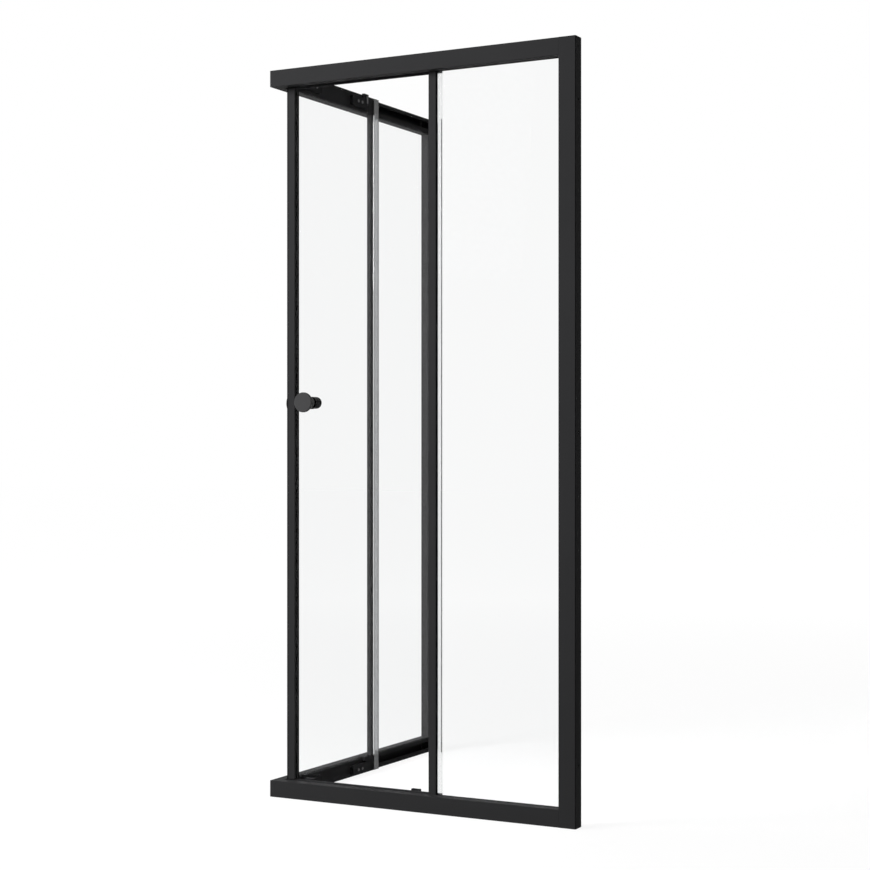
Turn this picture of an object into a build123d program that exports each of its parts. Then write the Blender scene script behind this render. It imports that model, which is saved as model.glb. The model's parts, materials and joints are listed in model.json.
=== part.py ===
from build123d import *
import os
from math import sqrt

os.makedirs("parts", exist_ok=True)

# Corner entry shower enclosure: two framed sides at right angles, each with a
# fixed pane at the wall and a sliding door that meets its twin at the corner.
# Side A runs along +X, side B along +Y, and B is A mirrored about the diagonal.
# Millimetres. "Along" is the distance from the outer corner along a side, and
# "deep" is the distance from a side's outer face towards the inside.

# Frame
frame_height = 1900.0
side_length = 870.0
rail_height = 43.0
rail_depth = 36.0
frame_wall = 1.5
edge_radius = 0.8
jamb_width = 45.0
jamb_to_wall = 1.0
jamb_pocket = 12.0
rail_pocket = 8.0

# Fixed pane and its free edge
glass_thickness = 6.0
gasket = 1.0
glass_bite = 7.0
jamb_bite = 9.0
bar_start = 457.0
bar_width = 21.0
bar_bite = 10.5
bar_edge_gap = 1.0

# Wall profile, wall screws and adjusting screws
wall_profile_wall = 1.6
wall_profile_leg = 25.0
slip_fit = 0.2
wall_hole_radius = 3.0
fixing_spacing = 800.0
adjuster_from_wall = 15.0
adjuster_radius = 2.0
adjuster_length = 5.2
adjuster_head_radius = 3.6
adjuster_head = 2.0
end_plug = 3.0

# Corner blocks inside the mitred rails
block_arm = 70.0
block_fit = 0.3

# Track and wheels
upper_track = 13.0
lower_track = 12.0
track_opening = 20.0
wheel_tread_radius = 7.0
wheel_rim_radius = 9.5
wheel_width = 5.2
groove_play = 0.1
groove_mouth = 3.0
track_gap = 0.1
axle_radius = 2.5
running_fit = 0.05
axle_head_radius = 4.0
axle_head = 1.2
axle_end_play = 0.15

# Sliding door
door_gap = 0.6
door_wall = 1.5
door_glass_fit = 0.3
door_end = 486.0
door_foot = 1.5
door_rise = 1.5
top_overlap = 2.5
bottom_overlap = 1.5
door_channel = 11.5
door_bite = 9.0

# Leading stile with its magnetic strip, mitred on the diagonal
stile_start = 32.0
stile_width = 23.0
stile_slot = 5.0
stile_glass_play = 0.5
stile_rail_gap = 2.0
stile_chamber = 2.6
magnet_thickness = 2.5
magnet_gap = 0.3

# Trailing seal
seal_wall = 1.4
seal_cover = 25.0
seal_play = 0.1

# Roller housings, the same above and below, at both ends of the door
roller_places = (92.0, 408.0)
roller_sides = (1, -1)
housing_length = 88.0
housing_overhang = 12.0
housing_height = 28.0
housing_thickness = 10.0
housing_radius = 6.0
housing_cap_rise = 4.5
housing_cap_thickness = 7.8
housing_screws = (28.0, 49.0)
screw_radius = 2.0
screw_head_radius = 4.0
screw_head = 2.2
height_screw_radius = 3.0
height_screw_length = 22.0

# Lower wheel carrier that lifts to free the foot of the door
release_travel = 4.0
carrier_half_width = 7.8
carrier_thickness = 5.6
carrier_below = 7.0
carrier_above = 5.0
carrier_play = 0.2
neck_width = 7.0
neck_thickness = 4.4
tab_width = 24.0
tab_height = 5.4
tab_lift = 1.1
tab_thickness = 9.4

# Knob through the door glass
knob_along = 98.0
knob_height = 1031.0
knob_hole_radius = 6.0
knob_radius = 15.5
knob_disc_radius = 26.0
knob_disc = 8.0
knob_outer_length = 34.4
knob_inner_length = 34.6
knob_end_radius = 10.0
knob_disc_edge = 1.6
knob_ring = 1.5
knob_ring_depth = 1.2
knob_ring_outer = 17.0
knob_ring_inner = 11.0
knob_washer = 1.0
knob_screw_radius = 3.0
knob_screw_bite = 14.0
thread_play = 0.05

# Rubber buffers at both ends of the upper track
buffer_length = 10.0
buffer_gap = 1.0
buffer_height = 19.0
buffer_from_jamb = 56.5

# Places that follow from the sizes above
corner = -side_length / 2
rail_end = side_length - jamb_width
jamb_end = side_length - jamb_to_wall
top_rail_foot = frame_height - rail_height
pocket_inner = rail_depth - frame_wall
fixed_glass_deep = pocket_inner - gasket - glass_thickness
pocket_outer = fixed_glass_deep - gasket
bar_end = bar_start + bar_width
fixed_glass_start = bar_end - bar_bite
upper_track_z = top_rail_foot + upper_track
upper_wheel_z = upper_track_z + wheel_tread_radius + track_gap
lower_wheel_z = lower_track + wheel_tread_radius + track_gap
wheel_deep = rail_depth - frame_wall / 2
wheel_outer_face = wheel_deep - wheel_width / 2
wheel_inner_face = wheel_deep + wheel_width / 2
door_outer = rail_depth + door_gap
door_glass_deep = door_outer + door_wall + door_glass_fit
door_glass_inner = door_glass_deep + glass_thickness
door_inner = door_glass_inner + door_glass_fit + door_wall
door_top = frame_height + door_rise
top_channel_foot = top_rail_foot - top_overlap
top_channel_top = top_channel_foot + door_channel
bottom_channel_top = rail_height + bottom_overlap
bottom_channel_foot = bottom_channel_top - door_channel
door_glass_top = top_channel_foot + door_bite
door_glass_foot = bottom_channel_top - door_bite
stile_end = stile_start + stile_width
strip_near = magnet_gap / 2 * sqrt(2)
strip_far = (magnet_gap / 2 + magnet_thickness) * sqrt(2)
housing_face = door_inner + housing_thickness
fixing_heights = [frame_height / 2 + step * fixing_spacing for step in (-1, 0, 1)]

# Planes of side A: across the side, from above, and from outside
ACROSS = Plane(origin=(corner, corner, 0), x_dir=(0, 1, 0), z_dir=(1, 0, 0))
PLAN = Plane(origin=(corner, corner, 0), x_dir=(1, 0, 0), z_dir=(0, 0, 1))
DIAGONAL = Plane(origin=(corner, corner, 0), z_dir=(1, -1, 0))
INWARD = (0, 1, 0)


def elevation(deep):
    """The plane at a depth in side A, with x along the side and y up."""
    return Plane(origin=(corner, corner + deep, 0), x_dir=(1, 0, 0), z_dir=(0, -1, 0))


def rect_between(low_x, high_x, low_y, high_y, mode=Mode.ADD):
    """A rectangle in the open sketch, from its limits."""
    with Locations(((low_x + high_x) / 2, (low_y + high_y) / 2)):
        Rectangle(high_x - low_x, high_y - low_y, mode=mode)


def disc_between(along, height, radius, low, high, mode=Mode.ADD):
    """A round bar or hole in the open part, square to side A, between two depths."""
    with BuildSketch(elevation(low)) as outline:
        with Locations((along, height)):
            Circle(radius)
    extrude(outline.sketch, amount=high - low, dir=INWARD, mode=mode)


def block_between(low_s, high_s, low_z, high_z, low, high, mode=Mode.ADD):
    """A plain block or cut in the open part, from its limits in side A."""
    with BuildSketch(elevation(low)) as outline:
        rect_between(low_s, high_s, low_z, high_z)
    extrude(outline.sketch, amount=high - low, dir=INWARD, mode=mode)


def write(part, node):
    """Labels a finished piece and writes it as a node."""
    part.label = node
    export_step(part, f"parts/{node}.step")


def write_pair(part, name):
    """Writes a piece of side A and its mirror image in side B."""
    write(part, f"{name}_a")
    write(mirror(part, about=DIAGONAL), f"{name}_b")


def write_both(part, name):
    """Writes small pieces of side A and their mirror images as one node."""
    with BuildPart() as both:
        add(part)
        mirror(about=DIAGONAL)
    write(both.part, name)


# Frame pieces

def top_rail():
    """Closed outside and on top, with the glass pocket below and the wheel track inside."""
    with BuildPart() as rail:
        with BuildSketch(ACROSS):
            rect_between(0, rail_depth, top_rail_foot, frame_height)
            rect_between(frame_wall, pocket_outer - frame_wall,
                         top_rail_foot + frame_wall, frame_height - frame_wall, Mode.SUBTRACT)
            rect_between(frame_wall, pocket_inner,
                         top_rail_foot + rail_pocket + frame_wall, frame_height - frame_wall, Mode.SUBTRACT)
            rect_between(pocket_outer, pocket_inner,
                         top_rail_foot, top_rail_foot + rail_pocket, Mode.SUBTRACT)
            rect_between(pocket_inner, rail_depth,
                         upper_track_z, upper_track_z + track_opening, Mode.SUBTRACT)
        extrude(amount=rail_end)
        split(bisect_by=DIAGONAL, keep=Keep.TOP)
        fillet(rail.edges().filter_by(Axis.X).group_by(Axis.Y)[0], radius=edge_radius)
    return rail.part


def bottom_rail():
    """Glass pocket on top, and the track lip at the foot of its open inner side."""
    with BuildPart() as rail:
        with BuildSketch(ACROSS):
            rect_between(0, rail_depth, 0, rail_height)
            rect_between(frame_wall, pocket_outer - frame_wall,
                         frame_wall, rail_height - frame_wall, Mode.SUBTRACT)
            rect_between(frame_wall, pocket_inner,
                         frame_wall, rail_height - rail_pocket - frame_wall, Mode.SUBTRACT)
            rect_between(pocket_outer, pocket_inner,
                         rail_height - rail_pocket, rail_height, Mode.SUBTRACT)
            rect_between(pocket_inner, rail_depth,
                         lower_track, lower_track + track_opening, Mode.SUBTRACT)
        extrude(amount=rail_end)
        split(bisect_by=DIAGONAL, keep=Keep.TOP)
        fillet(rail.edges().filter_by(Axis.X).group_by(Axis.Y)[0], radius=edge_radius)
    return rail.part


def jamb_profile():
    """Upright that holds the wall edge of the pane and slips over the wall profile."""
    with BuildPart() as jamb:
        with BuildSketch(PLAN):
            rect_between(rail_end, jamb_end, 0, rail_depth)
            rect_between(rail_end + frame_wall, rail_end + jamb_pocket,
                         frame_wall, pocket_outer - frame_wall, Mode.SUBTRACT)
            rect_between(rail_end, rail_end + jamb_pocket, pocket_outer, pocket_inner, Mode.SUBTRACT)
            rect_between(rail_end + jamb_pocket + frame_wall, jamb_end,
                         frame_wall, rail_depth - frame_wall, Mode.SUBTRACT)
        extrude(amount=frame_height)
        fillet(jamb.edges().filter_by(Axis.Z).group_by(Axis.Y)[0], radius=edge_radius)
        for height in fixing_heights:
            disc_between(side_length - adjuster_from_wall, height, adjuster_radius,
                         rail_depth - frame_wall, rail_depth, Mode.SUBTRACT)
    return jamb.part


def wall_profile():
    """Channel screwed to the wall, inside the jamb."""
    outer = frame_wall + slip_fit
    inner = rail_depth - frame_wall - slip_fit
    with BuildPart() as channel:
        with BuildSketch(PLAN):
            rect_between(side_length - wall_profile_leg, side_length, outer, inner)
            rect_between(side_length - wall_profile_leg, side_length - wall_profile_wall,
                         outer + wall_profile_wall, inner - wall_profile_wall, Mode.SUBTRACT)
        extrude(amount=frame_height)
        with BuildSketch(ACROSS.offset(side_length)):
            with Locations(*[(rail_depth / 2, height) for height in fixing_heights]):
                Circle(wall_hole_radius)
        extrude(amount=-wall_profile_wall, mode=Mode.SUBTRACT)
        for height in fixing_heights:
            disc_between(side_length - adjuster_from_wall, height, adjuster_radius,
                         inner - wall_profile_wall, inner, Mode.SUBTRACT)
    return channel.part


def adjusting_screws():
    """Three screws that lock the jamb on the wall profile, driven from inside."""
    with BuildPart() as screws:
        for height in fixing_heights:
            place = side_length - adjuster_from_wall
            disc_between(place, height, adjuster_radius, rail_depth - adjuster_length, rail_depth)
            disc_between(place, height, adjuster_head_radius, rail_depth, rail_depth + adjuster_head)
    return screws.part


def end_plugs():
    """Plugs that close the two uprights at the wall, above and below."""
    leg = side_length - wall_profile_leg
    side_gap = frame_wall + slip_fit + wall_profile_wall
    with BuildPart() as plugs:
        for low in (0, frame_height - end_plug):
            high = low + end_plug
            block_between(rail_end + jamb_pocket + frame_wall, leg, low, high,
                          frame_wall, rail_depth - frame_wall)
            block_between(leg, side_length - wall_profile_wall, low, high,
                          side_gap, rail_depth - side_gap)
    return plugs.part


def corner_block(foot):
    """Right-angled block inside both mitred rails, from the height of the rail's foot."""
    low = frame_wall + block_fit
    high = pocket_outer - frame_wall - block_fit
    with BuildPart() as block:
        with BuildSketch(PLAN.offset(foot + low)):
            rect_between(low, block_arm, low, high)
            rect_between(low, high, low, block_arm)
        extrude(amount=rail_height - 2 * low)
    return block.part


def fixed_glass():
    """Pane between the free edge bar and the jamb."""
    with BuildPart() as pane:
        block_between(fixed_glass_start, rail_end + jamb_bite,
                      rail_height - glass_bite, top_rail_foot + glass_bite,
                      fixed_glass_deep, fixed_glass_deep + glass_thickness)
    return pane.part


def glass_edge_bar():
    """Black bar on the free edge of the fixed pane, with a hollow nose."""
    slot_start = fixed_glass_start - bar_edge_gap
    with BuildPart() as bar:
        with BuildSketch(PLAN.offset(rail_height)):
            rect_between(bar_start, bar_end, pocket_outer - frame_wall, rail_depth)
            rect_between(bar_start + frame_wall, slot_start - frame_wall,
                         pocket_outer, pocket_inner, Mode.SUBTRACT)
            rect_between(slot_start, bar_end, pocket_outer, pocket_inner, Mode.SUBTRACT)
        extrude(amount=top_rail_foot - rail_height)
        fillet(bar.edges().filter_by(Axis.Z).group_by(Axis.Y)[0], radius=edge_radius)
    return bar.part


def glass_gaskets():
    """Strips on both faces of the fixed pane, in the rails, the jamb and the bar."""
    top_low = top_rail_foot
    with BuildPart() as strips:
        for low in (pocket_outer, fixed_glass_deep + glass_thickness):
            high = low + gasket
            block_between(fixed_glass_start, rail_end + jamb_bite,
                          rail_height - glass_bite, rail_height, low, high)
            block_between(fixed_glass_start, rail_end + jamb_bite,
                          top_low, top_low + glass_bite, low, high)
            block_between(rail_end, rail_end + jamb_bite, rail_height, top_low, low, high)
            block_between(fixed_glass_start, bar_end, rail_height, top_low, low, high)
    return strips.part


def track_buffers():
    """Rubber stops inside the top rail, just past the wheels at both ends of their run."""
    closed = roller_places[0] - wheel_rim_radius - buffer_gap
    opened = rail_end - buffer_from_jamb - buffer_length
    seat = top_rail_foot + rail_pocket + frame_wall
    with BuildPart() as buffers:
        for low in (closed - buffer_length, opened):
            block_between(low, low + buffer_length, seat, seat + buffer_height, pocket_outer, pocket_inner)
    return buffers.part


# Door pieces

def door_glass():
    """Sliding pane with the hole for the knob."""
    with BuildPart() as pane:
        block_between(stile_end - stile_slot + stile_glass_play, door_end,
                      door_glass_foot, door_glass_top, door_glass_deep, door_glass_inner)
        disc_between(knob_along, knob_height, knob_hole_radius,
                     door_glass_deep, door_glass_inner, Mode.SUBTRACT)
    return pane.part


def door_stile():
    """Leading upright with a 45 degree face, notched at both ends to pass the frame rails."""
    with BuildPart() as stile:
        with BuildSketch(PLAN.offset(door_foot)):
            with BuildLine():
                Polyline((stile_start + strip_far, stile_start), (stile_end, stile_start),
                         (stile_end, stile_end - strip_far), close=True)
            make_face()
            rect_between(stile_end - stile_slot, stile_end,
                         door_glass_deep - stile_glass_play, door_glass_inner + stile_glass_play, Mode.SUBTRACT)
            chamber_low = stile_start + door_wall
            chamber_high = chamber_low + stile_chamber
            rect_between(chamber_high + strip_far + door_wall * sqrt(2), stile_end - door_wall,
                         chamber_low, chamber_high, Mode.SUBTRACT)
        extrude(amount=door_top - door_foot)
        for low, high in ((door_foot, rail_height + stile_rail_gap),
                          (top_rail_foot - stile_rail_gap, door_top)):
            block_between(stile_start, stile_end, low, high, stile_start, door_outer, Mode.SUBTRACT)
    return stile.part


def magnetic_strip():
    """Strip on the 45 degree face, which meets the other door's strip."""
    foot = rail_height + stile_rail_gap
    with BuildPart() as strip:
        with BuildSketch(PLAN.offset(foot)):
            with BuildLine():
                Polyline((stile_start + strip_near, stile_start), (stile_start + strip_far, stile_start),
                         (stile_end, stile_end - strip_far), (stile_end, stile_end - strip_near), close=True)
            make_face()
        extrude(amount=top_rail_foot - stile_rail_gap - foot)
    return strip.part


def wheel_places(lower):
    """Where the two wheels of a door rail turn, along the side and up."""
    height = lower_wheel_z if lower else upper_wheel_z
    return [(along, height) for along in roller_places]


def screw_places():
    """Where the screws of all four roller housings go, along the side and up."""
    return [(along + side * reach, height)
            for along, side in zip(roller_places, roller_sides)
            for reach in housing_screws
            for height in (lower_wheel_z, upper_wheel_z)]


def door_top_rail():
    """Glass channel with a plate above it that carries the upper rollers."""
    with BuildPart() as rail:
        with BuildSketch(ACROSS.offset(stile_end)):
            rect_between(door_outer, door_inner, top_channel_foot, top_channel_top)
            rect_between(door_outer + door_wall, door_inner - door_wall,
                         top_channel_foot, top_channel_top - door_wall, Mode.SUBTRACT)
            rect_between(door_inner - door_wall, door_inner, top_channel_top, door_top)
        extrude(amount=door_end - stile_end)
        for along, height in wheel_places(lower=False):
            disc_between(along, height, axle_radius + running_fit,
                         door_inner - door_wall, door_inner, Mode.SUBTRACT)
        for along, height in screw_places():
            disc_between(along, height, screw_radius, door_inner - door_wall, door_inner, Mode.SUBTRACT)
    return rail.part


def door_bottom_rail():
    """Glass channel with a plate below it, slotted for the pins of the lower wheels."""
    slot_half = axle_head_radius + carrier_play
    with BuildPart() as rail:
        with BuildSketch(ACROSS.offset(stile_end)):
            rect_between(door_outer, door_inner, bottom_channel_foot, bottom_channel_top)
            rect_between(door_outer + door_wall, door_inner - door_wall,
                         bottom_channel_foot + door_wall, bottom_channel_top, Mode.SUBTRACT)
            rect_between(door_inner - door_wall, door_inner, door_foot, bottom_channel_foot)
        extrude(amount=door_end - stile_end)
        for along, height in wheel_places(lower=True):
            block_between(along - slot_half, along + slot_half,
                          height - slot_half, height + release_travel + slot_half,
                          door_inner - door_wall, door_inner, Mode.SUBTRACT)
        for along, height in screw_places():
            disc_between(along, height, screw_radius, door_inner - door_wall, door_inner, Mode.SUBTRACT)
    return rail.part


def trailing_seal():
    """Clear strip round the trailing edge, full height inside and gripping the glass between the rails."""
    inner = door_inner + seal_play
    end = door_end + seal_play
    grip_low = bottom_channel_top + seal_play
    grip_high = top_channel_foot - seal_play
    with BuildPart() as seal:
        block_between(end - seal_cover, end + seal_wall, door_foot, door_top, inner, inner + seal_wall)
        block_between(end, end + seal_wall, door_foot, door_top, door_outer, inner)
        block_between(end - seal_cover, end, grip_low, grip_high, door_glass_inner + seal_play, inner)
        block_between(end - seal_cover / 2, end, grip_low, grip_high,
                      door_outer, door_glass_deep - seal_play)
    return seal.part


def roller_outline(along, side, height):
    """Rounded outline of a roller housing in the open sketch."""
    middle = along + side * (housing_length / 2 - housing_overhang)
    with Locations((middle, height)):
        RectangleRounded(housing_length, housing_height, housing_radius)


def upper_housings():
    """Moulded housings of the upper rollers, each with a cap that rises past the rail."""
    with BuildPart() as housings:
        for (along, height), side in zip(wheel_places(lower=False), roller_sides):
            with BuildSketch(elevation(door_inner)):
                roller_outline(along, side, height)
            extrude(amount=housing_thickness, dir=INWARD)
            block_between(along - housing_overhang, along + housing_overhang,
                          height, frame_height + housing_cap_rise,
                          door_inner, door_inner + housing_cap_thickness)
            disc_between(along, height, axle_radius + running_fit,
                         door_inner, door_inner + carrier_thickness, Mode.SUBTRACT)
            with BuildSketch(PLAN.offset(height)):
                with Locations((along, housing_face)):
                    Circle(height_screw_radius + thread_play)
            extrude(amount=housing_height, mode=Mode.SUBTRACT)
        for along, height in screw_places():
            disc_between(along, height, screw_radius, door_inner, housing_face, Mode.SUBTRACT)
    return housings.part


def lower_housings():
    """Moulded housings that guide the lower wheel carriers."""
    with BuildPart() as housings:
        for (along, height), side in zip(wheel_places(lower=True), roller_sides):
            with BuildSketch(elevation(door_inner)):
                roller_outline(along, side, height)
            extrude(amount=housing_thickness, dir=INWARD)
            half = carrier_half_width + carrier_play
            roof = height + housing_height / 2 - door_wall
            depth = carrier_play + carrier_thickness + carrier_play
            block_between(along - half, along + half, height - carrier_below - carrier_play, roof,
                          door_inner, door_inner + depth, Mode.SUBTRACT)
            neck_half = neck_width / 2 + carrier_play
            block_between(along - neck_half, along + neck_half, roof, height + housing_height / 2,
                          door_inner, door_inner + depth, Mode.SUBTRACT)
        for along, height in screw_places():
            disc_between(along, height, screw_radius, door_inner, housing_face, Mode.SUBTRACT)
    return housings.part


def roller_screws():
    """Pan head screws of the four housings, and the height screws of the upper two."""
    with BuildPart() as screws:
        for along, height in screw_places():
            disc_between(along, height, screw_radius, door_inner - door_wall, housing_face)
            disc_between(along, height, screw_head_radius, housing_face, housing_face + screw_head)
        for along, height in wheel_places(lower=False):
            with BuildSketch(PLAN.offset(height)):
                with Locations((along, housing_face)):
                    Circle(height_screw_radius)
            extrude(amount=height_screw_length)
    return screws.part


def axle_profile(along, height, collar_end, end):
    """A headed pin with a collar behind the wheel, in the open part."""
    head_low = wheel_outer_face - axle_end_play - axle_head
    head_high = wheel_outer_face - axle_end_play
    disc_between(along, height, axle_head_radius, head_low, head_high)
    disc_between(along, height, axle_radius, head_high, end)
    disc_between(along, height, axle_head_radius, wheel_inner_face + axle_end_play, collar_end)


def upper_axles():
    """Pins of the upper wheels, through the plate of the door's top rail."""
    with BuildPart() as pins:
        for along, height in wheel_places(lower=False):
            axle_profile(along, height, door_inner - door_wall, door_inner + carrier_thickness)
    return pins.part


def wheel(along, height):
    """Grooved wheel that straddles the track lip."""
    half = wheel_width / 2
    groove = frame_wall / 2 + groove_play
    mouth = groove_mouth / 2
    with BuildPart() as roller:
        with BuildSketch(Plane(origin=(corner + along, corner + wheel_deep, height),
                               x_dir=(1, 0, 0), z_dir=(0, 0, 1))):
            with BuildLine():
                Polyline((axle_radius + running_fit, -half), (wheel_rim_radius, -half),
                         (wheel_rim_radius, -mouth), (wheel_tread_radius, -groove),
                         (wheel_tread_radius, groove), (wheel_rim_radius, mouth),
                         (wheel_rim_radius, half), (axle_radius + running_fit, half), close=True)
            make_face()
        revolve(axis=Axis((corner + along, corner, height), INWARD))
    return roller.part


def lower_carrier(along):
    """Slider with the lower wheel's pin, and a thumb tab above the door's bottom rail."""
    height = lower_wheel_z
    back = door_inner + carrier_play
    shoulder = height + carrier_above
    tab_foot = bottom_channel_top + tab_lift
    with BuildPart() as slider:
        axle_profile(along, height, back, back)
        block_between(along - carrier_half_width, along + carrier_half_width,
                      height - carrier_below, shoulder, back, back + carrier_thickness)
        middle = back + carrier_thickness / 2
        block_between(along - neck_width / 2, along + neck_width / 2, shoulder, tab_foot,
                      middle - neck_thickness / 2, middle + neck_thickness / 2)
        block_between(along - tab_width / 2, along + tab_width / 2, tab_foot, tab_foot + tab_height,
                      back, back + tab_thickness)
    return slider.part


# Knob pieces

def knob_axis():
    """Line through the knob, pointing inwards."""
    return Axis((corner + knob_along, corner, knob_height), INWARD)


def knob_plane():
    """Half-section plane of the knob, with x as radius and y as depth."""
    return Plane(origin=(corner + knob_along, corner, knob_height), x_dir=(1, 0, 0), z_dir=(0, 0, 1))


def knob_outer():
    """Outside half of the knob: a broad disc on a ringed barrel."""
    base = door_glass_deep - knob_washer
    face = base - knob_outer_length
    ring = face + knob_ring_outer
    bore = knob_screw_radius + thread_play
    with BuildPart() as knob:
        with BuildSketch(knob_plane()):
            with BuildLine():
                Polyline((0, face), (knob_disc_radius, face), (knob_disc_radius, face + knob_disc),
                         (knob_radius, face + knob_disc), (knob_radius, ring),
                         (knob_radius - knob_ring_depth, ring),
                         (knob_radius - knob_ring_depth, ring + knob_ring),
                         (knob_radius, ring + knob_ring), (knob_radius, base), (bore, base),
                         (bore, base - knob_screw_bite), (0, base - knob_screw_bite), close=True)
            make_face()
        revolve(axis=knob_axis())
        rims = knob.edges().filter_by(GeomType.CIRCLE).filter_by(lambda edge: edge.radius > knob_radius + 1)
        fillet(rims, radius=knob_disc_edge)
    return knob.part


def knob_inner():
    """Inside half of the knob: a ringed barrel with a rounded end."""
    base = door_glass_inner + knob_washer
    face = base + knob_inner_length
    ring = base + knob_ring_inner
    bore = knob_screw_radius + thread_play
    with BuildPart() as knob:
        with BuildSketch(knob_plane()):
            with BuildLine():
                Polyline((bore, base), (knob_radius, base), (knob_radius, ring),
                         (knob_radius - knob_ring_depth, ring),
                         (knob_radius - knob_ring_depth, ring + knob_ring),
                         (knob_radius, ring + knob_ring), (knob_radius, face), (0, face),
                         (0, base + knob_screw_bite), (bore, base + knob_screw_bite), close=True)
            make_face()
        revolve(axis=knob_axis())
        fillet(knob.edges().filter_by(GeomType.CIRCLE).group_by(Axis.Y)[-1], radius=knob_end_radius)
    return knob.part


def knob_washers():
    """Soft washers between the knob halves and the glass."""
    bore = knob_screw_radius + thread_play
    with BuildPart() as washers:
        for low in (door_glass_deep - knob_washer, door_glass_inner):
            disc_between(knob_along, knob_height, knob_radius, low, low + knob_washer)
            disc_between(knob_along, knob_height, bore, low, low + knob_washer, Mode.SUBTRACT)
    return washers.part


def knob_screw():
    """Threaded rod that joins the knob halves."""
    reach = knob_washer + knob_screw_bite
    with BuildPart() as rod:
        disc_between(knob_along, knob_height, knob_screw_radius,
                     door_glass_deep - reach, door_glass_inner + reach)
    return rod.part


write(corner_block(0), "corner_block_bottom")
write(corner_block(top_rail_foot), "corner_block_top")
write_pair(top_rail(), "top_rail")
write_pair(bottom_rail(), "bottom_rail")
write_pair(jamb_profile(), "jamb_profile")
write_pair(wall_profile(), "wall_profile")
write_both(adjusting_screws(), "adjusting_screws")
write_both(end_plugs(), "end_plugs")
write_pair(fixed_glass(), "fixed_glass")
write_pair(glass_edge_bar(), "glass_edge_bar")
write_pair(glass_gaskets(), "glass_gaskets")
write_both(track_buffers(), "track_buffers")
write_pair(door_glass(), "door_glass")
write_pair(door_stile(), "door_stile")
write_pair(magnetic_strip(), "magnetic_strip")
write_pair(door_top_rail(), "door_top_rail")
write_pair(door_bottom_rail(), "door_bottom_rail")
write_pair(trailing_seal(), "trailing_seal")
write_pair(upper_housings(), "upper_housings")
write_pair(lower_housings(), "lower_housings")
write_pair(roller_screws(), "roller_screws")
write_pair(upper_axles(), "upper_axles")
write_pair(knob_outer(), "knob_outer")
write_pair(knob_inner(), "knob_inner")
write_pair(knob_washers(), "knob_washers")
write_pair(knob_screw(), "knob_screw")
for place, along in zip(("lead", "trail"), roller_places):
    write_pair(wheel(along, upper_wheel_z), f"upper_wheel_{place}")
    write_pair(wheel(along, lower_wheel_z), f"lower_wheel_{place}")
    write_pair(lower_carrier(along), f"lower_carrier_{place}")
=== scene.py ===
import json
import math

import bpy
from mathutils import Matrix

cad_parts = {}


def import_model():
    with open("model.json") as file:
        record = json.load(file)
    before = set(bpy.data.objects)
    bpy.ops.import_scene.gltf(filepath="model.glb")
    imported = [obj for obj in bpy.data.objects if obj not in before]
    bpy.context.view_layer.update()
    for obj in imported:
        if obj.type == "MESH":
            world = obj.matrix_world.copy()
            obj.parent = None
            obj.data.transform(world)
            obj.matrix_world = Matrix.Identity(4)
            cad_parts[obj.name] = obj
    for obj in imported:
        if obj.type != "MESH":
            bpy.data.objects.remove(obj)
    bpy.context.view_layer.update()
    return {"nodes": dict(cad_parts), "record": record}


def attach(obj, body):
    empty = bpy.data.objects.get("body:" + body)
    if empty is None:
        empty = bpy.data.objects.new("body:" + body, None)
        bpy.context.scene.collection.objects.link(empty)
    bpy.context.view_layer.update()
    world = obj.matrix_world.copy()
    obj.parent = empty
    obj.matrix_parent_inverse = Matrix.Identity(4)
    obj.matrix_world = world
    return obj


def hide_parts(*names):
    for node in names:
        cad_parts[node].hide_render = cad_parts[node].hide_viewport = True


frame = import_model()
nodes = frame["nodes"]

# Camera, fitted to the frame's edges in the photograph: metres, degrees, millimetres for lens and sensor
CAMERA_PLACE = (2.1697, -4.3995, 0.9107)
CAMERA_TILT = 90.0
CAMERA_TURN = 28.085
LENS = 74.674
SENSOR = 36.0
SHIFT_UP = 0.01575
SIGHT_END = 100.0

# How bright the room is, and how bright the background shows
WORLD_STRENGTH = 0.11
BACKDROP_STRENGTH = 1.0

# Two soft lamps in front, left of the camera: metres and watts
KEY_LAMP = {"place": (-2.6, -3.9, 2.9), "aim": (0.0, -0.2, 1.0), "size": 2.4, "power": 340.0}
FILL_LAMP = {"place": (-4.2, -1.5, 2.6), "aim": (-0.2, 0.0, 1.0), "size": 2.0, "power": 60.0}

# Floor, just under the object, whose glow rises between the two distances of its reach
FLOOR_SIZE = 60.0
FLOOR_DROP = 0.001
FLOOR_COLOUR = 0.12
FLOOR_GLOW = (0.90, 0.985)
FLOOR_GLOW_REACH = (0.8, 6.0)

# Noise of the solid finishes: broad for colour, fine for gloss and relief
BROAD_SCALE = 6.0
BROAD_DETAIL = 3.0
FINE_DETAIL = 2.0
RELIEF_HEIGHT = 0.0002

# How much the panes and the back door's seal bend light, and what share of its reflections each keeps
PANE_IOR = 1.12
CLEAREST_IOR = 1.02
SEAL_IOR = 1.35
PANE_SHEEN = 0.3
SEAL_SHEEN = 1.0

# Heights on a lower wheel's carrier where its thumb tab starts and has its middle, and how far the tab's
# top and foot lie below those of the plain solid
TAB_ABOVE = 0.040
TAB_MIDDLE = 0.048
TAB_TOP_DROP = 0.0026
TAB_FOOT_DROP = 0.0075


def grey(level):
    """A neutral colour."""
    return (level, level, level, 1.0)


def new_material(name):
    """A material with its node tree, which holds only an output."""
    material = bpy.data.materials.new(name)
    material.use_nodes = True
    tree = material.node_tree
    tree.nodes.clear()
    output = tree.nodes.new("ShaderNodeOutputMaterial")
    return material, tree, output


def object_noise(tree, scale, detail):
    """Noise in the object's own metres."""
    place = tree.nodes.new("ShaderNodeTexCoord")
    noise = tree.nodes.new("ShaderNodeTexNoise")
    noise.inputs["Scale"].default_value = scale
    noise.inputs["Detail"].default_value = detail
    tree.links.new(place.outputs["Object"], noise.inputs["Vector"])
    return noise.outputs["Fac"]


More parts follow.
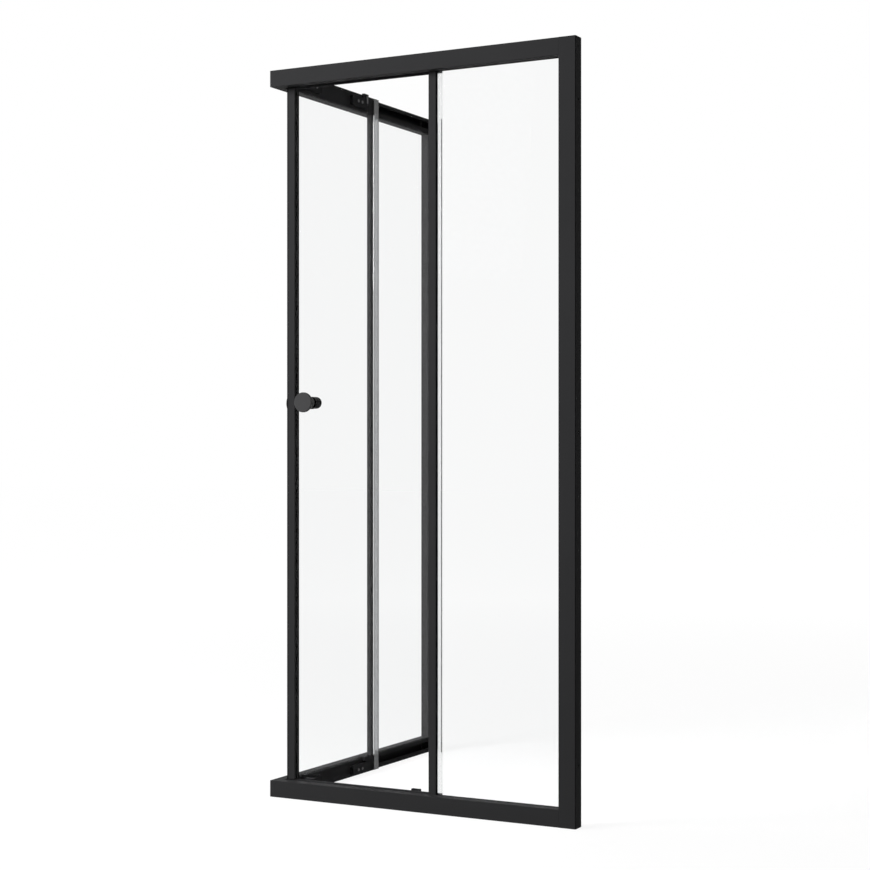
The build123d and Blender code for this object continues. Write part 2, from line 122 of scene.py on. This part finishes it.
def spread(tree, source, low, high, reach=(0.0, 1.0)):
    """Maps a value within reach onto a range of numbers."""
    node = tree.nodes.new("ShaderNodeMapRange")
    node.inputs["From Min"].default_value = reach[0]
    node.inputs["From Max"].default_value = reach[1]
    node.inputs["To Min"].default_value = low
    node.inputs["To Max"].default_value = high
    tree.links.new(source, node.inputs["Value"])
    return node.outputs["Result"]


def tint(tree, source, low, high):
    """Maps a 0 to 1 value onto a range of colours."""
    node = tree.nodes.new("ShaderNodeMix")
    node.data_type = "RGBA"
    node.inputs["A"].default_value = (*low, 1.0)
    node.inputs["B"].default_value = (*high, 1.0)
    tree.links.new(source, node.inputs["Factor"])
    return node.outputs["Result"]


def bump(tree, source, strength):
    """Surface relief from a height value."""
    node = tree.nodes.new("ShaderNodeBump")
    node.inputs["Strength"].default_value = strength
    node.inputs["Distance"].default_value = RELIEF_HEIGHT
    tree.links.new(source, node.inputs["Height"])
    return node.outputs["Normal"]


def larger(tree, first, second):
    """The larger of two values."""
    node = tree.nodes.new("ShaderNodeMath")
    node.operation = "MAXIMUM"
    tree.links.new(first, node.inputs[0])
    tree.links.new(second, node.inputs[1])
    return node.outputs[0]


def mixed(tree, share, first, second):
    """The first shader where share is 0, and the second where it is 1."""
    node = tree.nodes.new("ShaderNodeMixShader")
    tree.links.new(share, node.inputs["Fac"])
    tree.links.new(first, node.inputs[1])
    tree.links.new(second, node.inputs[2])
    return node.outputs["Shader"]


def solid_material(name, low, high, rough, grain, relief, metallic=0.0, specular=0.5, alpha=1.0):
    """A surface with broad colour variation, fine grain in its relief and uneven gloss."""
    material, tree, output = new_material(name)
    shader = tree.nodes.new("ShaderNodeBsdfPrincipled")
    broad = object_noise(tree, BROAD_SCALE, BROAD_DETAIL)
    fine = object_noise(tree, grain, FINE_DETAIL)
    tree.links.new(tint(tree, broad, low, high), shader.inputs["Base Color"])
    tree.links.new(spread(tree, fine, *rough), shader.inputs["Roughness"])
    tree.links.new(bump(tree, fine, relief), shader.inputs["Normal"])
    shader.inputs["Metallic"].default_value = metallic
    shader.inputs["Specular IOR Level"].default_value = specular
    shader.inputs["Alpha"].default_value = alpha
    tree.links.new(shader.outputs["BSDF"], output.inputs["Surface"])
    return material


def glass_material(name, colour, ior, sheen):
    """A clear material that lets the lamps' light through; sheen scales its reflections."""
    material, tree, output = new_material(name)
    shader = tree.nodes.new("ShaderNodeBsdfPrincipled")
    shader.inputs["Base Color"].default_value = (*colour, 1.0)
    shader.inputs["Transmission Weight"].default_value = 1.0
    shader.inputs["Roughness"].default_value = 0.0
    shader.inputs["IOR"].default_value = ior
    shader.inputs["Specular Tint"].default_value = grey(sheen)
    path = tree.nodes.new("ShaderNodeLightPath")
    clear = tree.nodes.new("ShaderNodeBsdfTransparent")
    surface = mixed(tree, path.outputs["Is Shadow Ray"], shader.outputs["BSDF"], clear.outputs["BSDF"])
    tree.links.new(surface, output.inputs["Surface"])
    return material


# Metal, plastic and rubber
powder = solid_material(
    "black_powder_coat", low=(0.026, 0.026, 0.027), high=(0.031, 0.031, 0.032),
    rough=(0.42, 0.55), grain=2600.0, relief=0.25, specular=0.01,
)
black_plastic = solid_material(
    "black_moulded_plastic", low=(0.011, 0.011, 0.012), high=(0.015, 0.015, 0.016),
    rough=(0.38, 0.5), grain=1500.0, relief=0.2, specular=0.02,
)
rubber = solid_material(
    "black_rubber", low=(0.008, 0.008, 0.008), high=(0.012, 0.012, 0.012),
    rough=(0.65, 0.8), grain=1200.0, relief=0.3, specular=0.01,
)
nylon = solid_material(
    "grey_nylon", low=(0.30, 0.30, 0.295), high=(0.36, 0.36, 0.355),
    rough=(0.35, 0.5), grain=900.0, relief=0.15, specular=0.2,
)
steel = solid_material(
    "stainless_steel", low=(0.30, 0.30, 0.305), high=(0.36, 0.36, 0.365),
    rough=(0.30, 0.42), grain=1800.0, relief=0.12, metallic=1.0,
)
satin = solid_material(
    "satin_black_knob", low=(0.046, 0.046, 0.047), high=(0.054, 0.054, 0.055),
    rough=(0.36, 0.46), grain=2200.0, relief=0.2, specular=0.05,
)
dark_steel = solid_material(
    "blackened_steel", low=(0.07, 0.07, 0.071), high=(0.09, 0.09, 0.091),
    rough=(0.4, 0.52), grain=1500.0, relief=0.15, metallic=1.0,
)

# Clear pieces
glass = glass_material("clear_glass", (0.925, 0.928, 0.928), PANE_IOR, PANE_SHEEN)
fixed_pane_glass = glass_material("clear_glass_fixed_pane", (0.938, 0.942, 0.942), PANE_IOR, PANE_SHEEN)
front_door_glass = glass_material("clear_glass_front_door", (0.99, 0.992, 0.992), CLEAREST_IOR, PANE_SHEEN)
clear_seal = glass_material("clear_seal", (0.62, 0.625, 0.63), SEAL_IOR, SEAL_SHEEN)
front_seal = solid_material(
    "clear_seal_front_door", low=(0.80, 0.81, 0.81), high=(0.86, 0.87, 0.87),
    rough=(0.3, 0.4), grain=700.0, relief=0.1, specular=0.2, alpha=0.08,
)

SLOT_MATERIALS = {
    "black_frame": powder, "black_plastic": black_plastic, "black_rubber": rubber,
    "nylon": nylon, "steel": steel, "glass": glass, "clear_seal": clear_seal,
}
# Nodes whose look differs from the rest of their slot
NODE_MATERIALS = {
    "fixed_glass_a": fixed_pane_glass, "door_glass_a": front_door_glass, "trailing_seal_a": front_seal,
    "knob_outer_a": satin, "knob_outer_b": satin,
    "roller_screws_a": dark_steel, "roller_screws_b": dark_steel,
}


def dress(node, material):
    """Gives a node one material all over."""
    for slot in nodes[node].material_slots:
        slot.material = material


for part in frame["record"]["subparts"]:
    dress(part["node"], SLOT_MATERIALS[part["material_slot"]])
for node, material in NODE_MATERIALS.items():
    dress(node, material)


def lower_tab_carrier(node):
    """A wheel carrier with a deeper thumb tab behind the bottom rail, made from the node's own mesh."""
    mesh = nodes[node].data.copy()
    for vertex in mesh.vertices:
        if vertex.co.z > TAB_MIDDLE:
            vertex.co.z -= TAB_TOP_DROP
        elif vertex.co.z > TAB_ABOVE:
            vertex.co.z -= TAB_FOOT_DROP
    carrier = bpy.data.objects.new(f"{node}_low_tab", mesh)
    bpy.context.scene.collection.objects.link(carrier)
    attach(carrier, node)
    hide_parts(node)


for place in ("lead", "trail"):
    for side in "ab":
        lower_tab_carrier(f"lower_carrier_{place}_{side}")


def seen_ray(tree):
    """1 for the rays that show the background: straight, through glass or mirrored."""
    path = tree.nodes.new("ShaderNodeLightPath")
    straight = larger(tree, path.outputs["Is Camera Ray"], path.outputs["Is Transmission Ray"])
    return larger(tree, straight, path.outputs["Is Glossy Ray"])


def floor_material():
    """Dark to the light around it, near white where it is seen, with soft shadows."""
    material, tree, output = new_material("floor")
    diffuse = tree.nodes.new("ShaderNodeBsdfDiffuse")
    diffuse.inputs["Color"].default_value = grey(FLOOR_COLOUR)
    place = tree.nodes.new("ShaderNodeTexCoord")
    distance = tree.nodes.new("ShaderNodeVectorMath")
    distance.operation = "LENGTH"
    tree.links.new(place.outputs["Object"], distance.inputs[0])
    glow = tree.nodes.new("ShaderNodeEmission")
    level = spread(tree, distance.outputs["Value"], *FLOOR_GLOW, reach=FLOOR_GLOW_REACH)
    tree.links.new(level, glow.inputs["Strength"])
    seen = tree.nodes.new("ShaderNodeAddShader")
    tree.links.new(diffuse.outputs["BSDF"], seen.inputs[0])
    tree.links.new(glow.outputs["Emission"], seen.inputs[1])
    surface = mixed(tree, seen_ray(tree), diffuse.outputs["BSDF"], seen.outputs["Shader"])
    tree.links.new(surface, output.inputs["Surface"])
    return material


def floor():
    """Large floor under the object."""
    mesh = bpy.data.meshes.new("floor")
    half = FLOOR_SIZE / 2
    corners = [(-half, -half, 0.0), (half, -half, 0.0), (half, half, 0.0), (-half, half, 0.0)]
    mesh.from_pydata(corners, [], [(0, 1, 2, 3)])
    ground = bpy.data.objects.new("floor", mesh)
    ground.location.z = -FLOOR_DROP
    mesh.materials.append(floor_material())
    bpy.context.scene.collection.objects.link(ground)


def background(tree, strength):
    """Even white light from all around."""
    node = tree.nodes.new("ShaderNodeBackground")
    node.inputs["Color"].default_value = grey(1.0)
    node.inputs["Strength"].default_value = strength
    return node.outputs["Background"]


def world():
    """Dim studio light, and a white background where it is seen directly or in glass."""
    sky = bpy.data.worlds.new("studio")
    sky.use_nodes = True
    tree = sky.node_tree
    tree.nodes.clear()
    output = tree.nodes.new("ShaderNodeOutputWorld")
    light = background(tree, WORLD_STRENGTH)
    shown = background(tree, BACKDROP_STRENGTH)
    tree.links.new(mixed(tree, seen_ray(tree), light, shown), output.inputs["Surface"])
    bpy.context.scene.world = sky


def lamp(name, place, aim, size, power):
    """Square soft light that points at a place."""
    data = bpy.data.lights.new(name, "AREA")
    data.shape = "SQUARE"
    data.size = size
    data.energy = power
    light = bpy.data.objects.new(name, data)
    light.visible_glossy = False
    light.location = place
    toward = [a - p for a, p in zip(aim, place)]
    flat = math.hypot(toward[0], toward[1])
    light.rotation_euler = (math.atan2(flat, -toward[2]), 0.0, math.atan2(-toward[0], toward[1]))
    bpy.context.scene.collection.objects.link(light)


def camera():
    """The photograph's view."""
    data = bpy.data.cameras.new("camera")
    data.sensor_width = SENSOR
    data.lens = LENS
    data.shift_y = SHIFT_UP
    data.clip_end = SIGHT_END
    eye = bpy.data.objects.new("camera", data)
    eye.location = CAMERA_PLACE
    eye.rotation_euler = (math.radians(CAMERA_TILT), 0.0, math.radians(CAMERA_TURN))
    bpy.context.scene.collection.objects.link(eye)
    bpy.context.scene.camera = eye


camera()
floor()
world()
lamp("key", **KEY_LAMP)
lamp("fill", **FILL_LAMP)
bpy.context.scene.view_settings.view_transform = "Standard"
